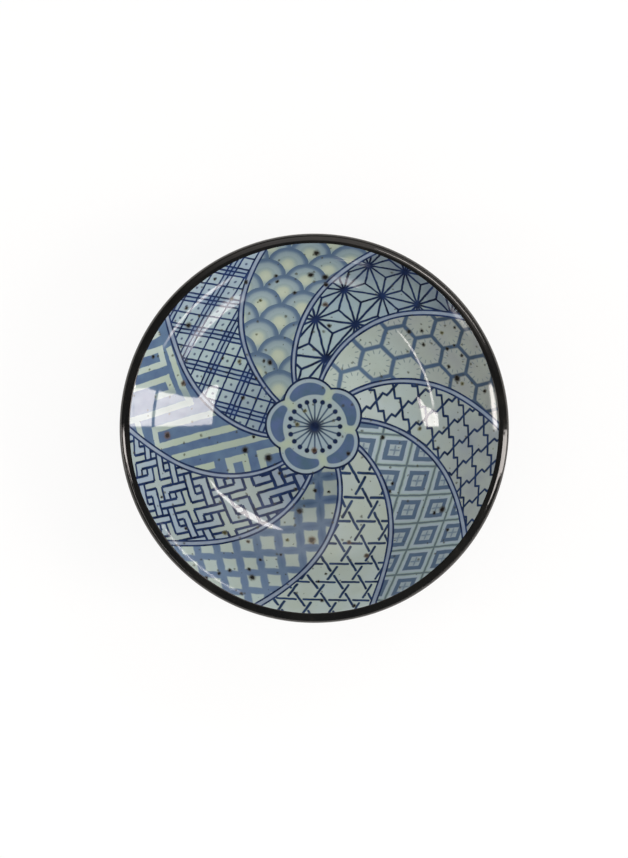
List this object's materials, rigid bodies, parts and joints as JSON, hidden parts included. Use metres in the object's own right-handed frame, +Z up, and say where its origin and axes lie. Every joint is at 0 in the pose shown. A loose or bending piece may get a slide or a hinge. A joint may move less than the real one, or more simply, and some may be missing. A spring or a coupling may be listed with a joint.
{
  "type": "soy sauce dish",
  "caption": "Small round glazed stoneware sauce dish with a curved well, a half-round dark lip and a low bare foot ring.",
  "frame": {"origin": "centre of the foot ring's contact face, on the table", "axes": "+Z up, along the dish's axis of revolution; +Y towards the top of the pattern as pictured, +X to its right"},
  "size_m": [0.095, 0.095, 0.026],
  "materials": {
    "stoneware": "bare fired clay, fine and dry",
    "clear_glaze": "glossy clear glaze over blue printed patterns on a pale grey-green ground, with iron specks",
    "iron_glaze": "glossy near-black iron glaze, browner where it runs thin"
  },
  "bodies": {
    "root": {"clay_body": "stoneware", "foot_ring": "stoneware", "well_glaze": "clear_glaze", "outside_glaze": "iron_glaze", "base_glaze": "iron_glaze"}
  },
  "joints": []
}
